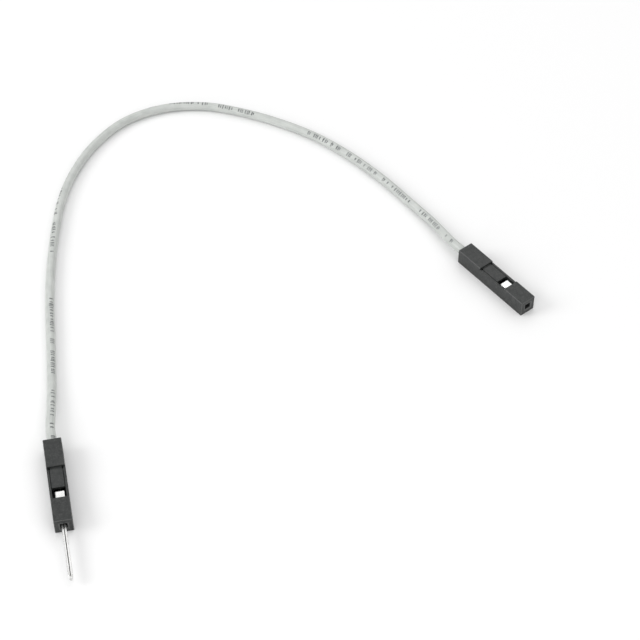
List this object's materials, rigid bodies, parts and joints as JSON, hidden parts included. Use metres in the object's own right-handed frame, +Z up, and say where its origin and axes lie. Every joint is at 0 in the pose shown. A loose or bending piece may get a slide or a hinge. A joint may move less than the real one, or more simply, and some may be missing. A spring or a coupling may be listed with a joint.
{
  "type": "breadboard jumper wire",
  "caption": "Flexible insulated lead with a square pin connector on its first end and a socket connector on the other, for linking points on a circuit board.",
  "frame": {"origin": "middle of the box around the two connectors, on the surface that the lead lies on", "axes": "+Z up from that surface, +X from the pin connector towards the socket connector, +Y towards the wire's bend"},
  "size_m": [0.0725, 0.0934, 0.0025],
  "materials": {
    "black_plastic": "fine matte moulded plastic",
    "tinned_metal": "bright tin plating on stamped sheet",
    "grey_insulation": "satin flexible plastic with small dark marks",
    "tinned_copper": "drawn tinned wire"
  },
  "bodies": {
    "root": {"male_housing": "black_plastic", "female_housing": "black_plastic", "pin_terminal": "tinned_metal", "socket_terminal": "tinned_metal", "wire_insulation": "grey_insulation", "strand_1": "tinned_copper", "strand_2": "tinned_copper", "strand_3": "tinned_copper", "strand_4": "tinned_copper", "strand_5": "tinned_copper", "strand_6": "tinned_copper", "strand_7": "tinned_copper"}
  },
  "joints": []
}
